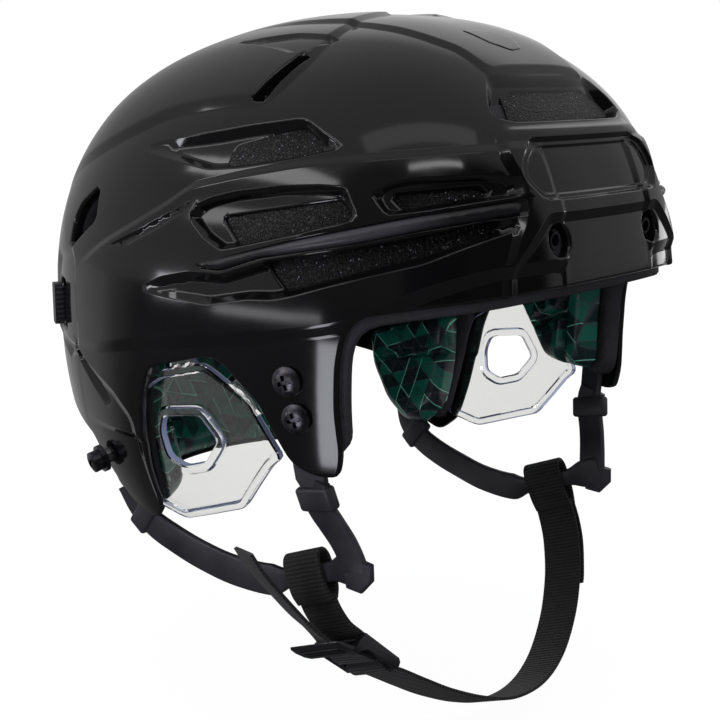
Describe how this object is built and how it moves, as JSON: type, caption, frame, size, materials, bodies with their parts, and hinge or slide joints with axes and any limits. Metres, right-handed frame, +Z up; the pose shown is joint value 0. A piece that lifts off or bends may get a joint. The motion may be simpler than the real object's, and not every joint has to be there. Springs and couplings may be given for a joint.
{
  "type": "ice hockey helmet",
  "caption": "Vented hard shell helmet with foam liner, comfort pads, clear ear guards, moulded side straps, sliding rear fit adjuster and webbing chin strap.",
  "frame": {"origin": "centre of the head opening, level with the lower edge of the brow", "axes": "+Z up toward the crown, -Y toward the brow, -X toward the wearer's right"},
  "size_m": [0.2194, 0.261, 0.283],
  "materials": {
    "shell_plastic": "gloss",
    "satin_trim": "satin",
    "vent_mesh": "satin",
    "liner_foam": "matte",
    "pad_film": "satin",
    "guard_clear": "gloss",
    "screw_steel": "satin",
    "nut_metal": "satin",
    "strap_rubber": "satin",
    "adjuster_plastic": "satin",
    "webbing_fabric": "matte",
    "buckle_plastic": "satin"
  },
  "bodies": {
    "helmet": {"outer_shell": "shell_plastic", "crown_inlay": "shell_plastic", "side_vent_trim_right": "satin_trim", "side_vent_trim_left": "satin_trim", "side_vent_mesh_right": "vent_mesh", "side_vent_mesh_left": "vent_mesh", "upper_vent_mesh": "vent_mesh", "front_vent_mesh": "vent_mesh", "crown_vent_mesh": "vent_mesh", "foam_liner": "liner_foam", "brow_pad": "pad_film", "crown_pad": "pad_film", "temple_pad_right": "pad_film", "temple_pad_left": "pad_film", "side_pad_right": "pad_film", "side_pad_left": "pad_film", "rear_pad_right": "pad_film", "rear_pad_left": "pad_film", "ear_guard_right": "guard_clear", "ear_guard_left": "guard_clear", "side_screws": "screw_steel", "rear_screws": "screw_steel", "side_nuts": "nut_metal", "front_inserts": "nut_metal", "side_strap_right": "strap_rubber", "side_strap_left": "strap_rubber"},
    "fit_adjuster": {"occipital_cradle": "adjuster_plastic", "occipital_pad": "pad_film", "fit_slider_right": "adjuster_plastic", "fit_slider_left": "adjuster_plastic"},
    "chin_strap": {"chin_webbing": "webbing_fabric", "adjusting_webbing": "webbing_fabric", "buckle": "buckle_plastic"}
  },
  "joints": [
    {"name": "fit_adjuster_slide", "type": "slide", "parent": "helmet", "child": "fit_adjuster", "axis": [0, 0, 1], "range_m": [-0.007, 0.007]},
    {"name": "chin_strap_swing", "type": "hinge", "parent": "helmet", "child": "chin_strap", "pos_m": [0, -0.052, -0.105], "axis": [1, 0, 0], "range_deg": [-15, 15]}
  ]
}
